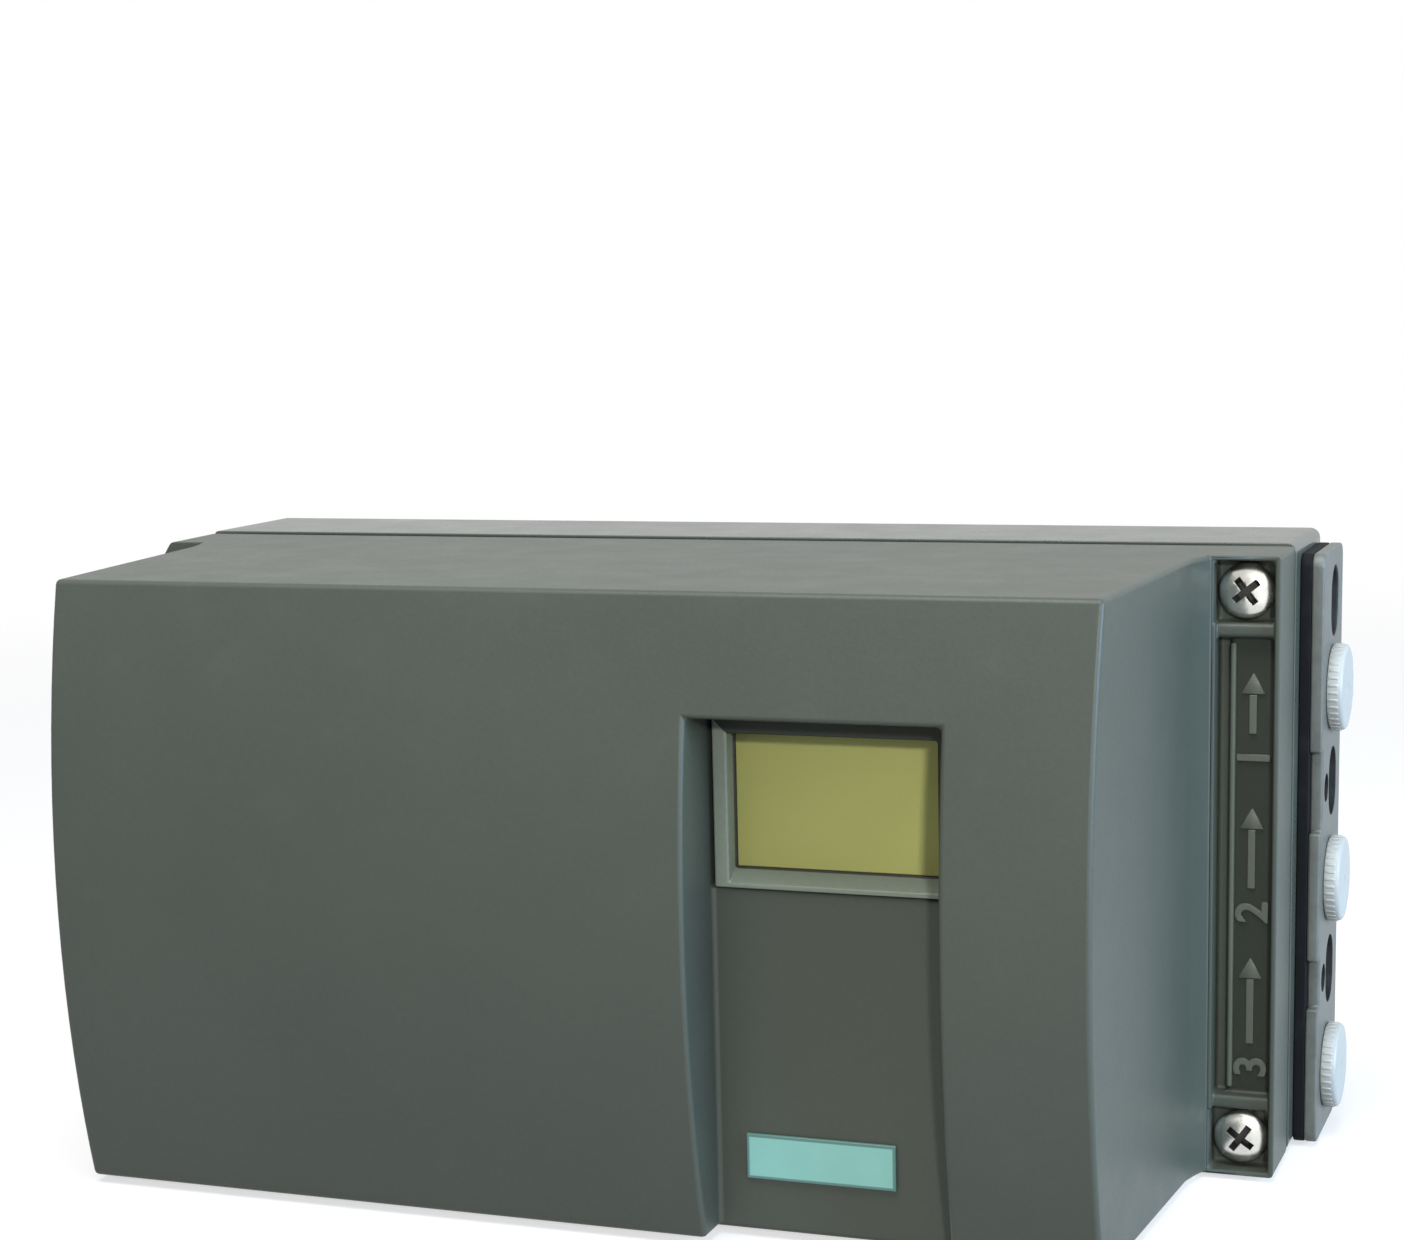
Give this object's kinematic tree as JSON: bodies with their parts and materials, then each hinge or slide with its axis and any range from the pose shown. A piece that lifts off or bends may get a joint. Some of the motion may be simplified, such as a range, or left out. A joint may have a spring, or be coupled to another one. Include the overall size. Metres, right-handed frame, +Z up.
{
  "type": "valve positioner",
  "caption": "Grey electropneumatic valve positioner: crowned lift-off cover with display window, side air ports with plugs, cable gland and rear feedback shaft geared to a potentiometer.",
  "frame": {"origin": "on the feedback shaft's axis, in the plane of the rear mounting face", "axes": "+X to the right and +Z up as seen from the front; +Y out of the rear, along the feedback shaft"},
  "size_m": [0.2091, 0.1118, 0.0912],
  "materials": {
    "housing_grey": "fine-grained moulded plastic",
    "seal_black": "soft rubber",
    "brass": "turned",
    "die_cast": "bead-blasted, passivated",
    "zinc_steel": "bright zinc plated",
    "block_black": "glass-filled moulding",
    "pilot_tan": "moulded",
    "sintered_bronze": "sintered",
    "gland_black": "moulded polyamide",
    "carrier_grey": "moulded",
    "terminal_green": "moulded",
    "board_green": "solder mask",
    "chip_black": "moulded",
    "display_olive": "reflective liquid crystal",
    "key_grey": "moulded",
    "pot_blue": "moulded",
    "gear_ivory": "acetal",
    "lead_grey": "flat ribbon",
    "control_yellow": "moulded",
    "shaft_steel": "ground stainless steel",
    "plug_white": "milky polyethylene",
    "window_clear": "clear polycarbonate",
    "label_teal": "bare printed foil"
  },
  "bodies": {
    "base": {"base_housing": "housing_grey", "cover_gasket": "seal_black", "cover_screw_inserts": "brass", "mounting_inserts": "brass", "port_gasket": "seal_black", "port_plate": "die_cast", "port_plate_screws": "zinc_steel", "valve_block": "block_black", "valve_block_screws": "zinc_steel", "piezo_valve_unit": "pilot_tan", "exhaust_silencer": "sintered_bronze", "gland_body": "gland_black", "gland_seal": "seal_black", "blanking_plug": "gland_black", "entry_o_rings": "seal_black", "terminal_carrier": "carrier_grey", "carrier_screws": "zinc_steel", "terminal_strip": "terminal_green", "terminal_screws": "zinc_steel", "shield_plate": "zinc_steel", "shield_screws": "zinc_steel", "electronics_tray": "housing_grey", "main_board": "board_green", "board_screws": "zinc_steel", "board_components": "chip_black", "lcd_holder": "chip_black", "lcd_glass": "display_olive", "button_guide": "housing_grey", "button_switches": "chip_black", "pot_bracket": "zinc_steel", "bracket_screws": "zinc_steel", "potentiometer": "pot_blue", "pot_cable": "lead_grey", "shaft_bush": "brass", "shaft_seal": "seal_black"},
    "cover": {"front_cover": "housing_grey", "window_frame": "housing_grey", "window_pane": "window_clear", "label_plate": "label_teal", "cover_screws": "zinc_steel"},
    "shaft": {"feedback_shaft": "shaft_steel", "shaft_circlip": "zinc_steel", "drive_gear": "gear_ivory", "clutch_spring": "zinc_steel", "clutch_wheel": "control_yellow", "clutch_nut": "zinc_steel"},
    "pot_spindle": {"pot_gear": "gear_ivory"},
    "ratio_lever": {"ratio_selector": "control_yellow"},
    "purge_knob": {"purge_selector": "control_yellow"},
    "restrictor_1": {"restrictor_left": "brass"},
    "restrictor_2": {"restrictor_right": "brass"},
    "key_hand": {"button_hand": "key_grey"},
    "key_down": {"button_down": "key_grey"},
    "key_up": {"button_up": "key_grey"},
    "plug_upper": {"port_plug_upper": "plug_white"},
    "plug_middle": {"port_plug_middle": "plug_white"},
    "plug_lower": {"port_plug_lower": "plug_white"},
    "gland_cap": {"gland_nut": "gland_black"}
  },
  "joints": [
    {"name": "cover_lift", "type": "slide", "parent": "base", "child": "cover", "axis": [0, -1, 0], "range_m": [0, 0.08]},
    {"name": "shaft_turn", "type": "hinge", "parent": "base", "child": "shaft", "pos_m": [0, 0, 0], "axis": [0, 1, 0], "range_deg": [-50, 50]},
    {"name": "pot_turn", "type": "hinge", "parent": "base", "child": "pot_spindle", "pos_m": [0, -0.022, 0.0288], "axis": [0, 1, 0], "range_deg": [-115, 115]},
    {"name": "ratio_shift", "type": "hinge", "parent": "base", "child": "ratio_lever", "pos_m": [0.02, -0.022, 0.0308], "axis": [0, -1, 0], "range_deg": [0, 35]},
    {"name": "purge_turn", "type": "hinge", "parent": "base", "child": "purge_knob", "pos_m": [0.0866, -0.0342, -0.021], "axis": [0, 1, 0], "range_deg": [0, 90]},
    {"name": "restrictor_left_turn", "type": "hinge", "parent": "base", "child": "restrictor_1", "pos_m": [0.058, -0.0342, -0.021], "axis": [0, 1, 0], "range_deg": [0, 720]},
    {"name": "restrictor_right_turn", "type": "hinge", "parent": "base", "child": "restrictor_2", "pos_m": [0.069, -0.0342, -0.021], "axis": [0, 1, 0], "range_deg": [0, 720]},
    {"name": "key_hand_press", "type": "slide", "parent": "base", "child": "key_hand", "axis": [0, 1, 0], "range_m": [0, 0.0006], "stiffness_N_per_m": 1500},
    {"name": "key_down_press", "type": "slide", "parent": "base", "child": "key_down", "axis": [0, 1, 0], "range_m": [0, 0.0006], "stiffness_N_per_m": 1500},
    {"name": "key_up_press", "type": "slide", "parent": "base", "child": "key_up", "axis": [0, 1, 0], "range_m": [0, 0.0006], "stiffness_N_per_m": 1500},
    {"name": "plug_upper_pull", "type": "slide", "parent": "base", "child": "plug_upper", "axis": [1, 0, 0], "range_m": [0, 0.02]},
    {"name": "plug_middle_pull", "type": "slide", "parent": "base", "child": "plug_middle", "axis": [1, 0, 0], "range_m": [0, 0.02]},
    {"name": "plug_lower_pull", "type": "slide", "parent": "base", "child": "plug_lower", "axis": [1, 0, 0], "range_m": [0, 0.02]},
    {"name": "gland_nut_turn", "type": "hinge", "parent": "base", "child": "gland_cap", "pos_m": [-0.084, -0.0118, 0.028], "axis": [-1, 0, 0], "range_deg": [0, 720]}
  ],
  "couplings": [
    {"joint": "pot_turn", "follows": "shaft_turn", "ratio": -2}
  ]
}
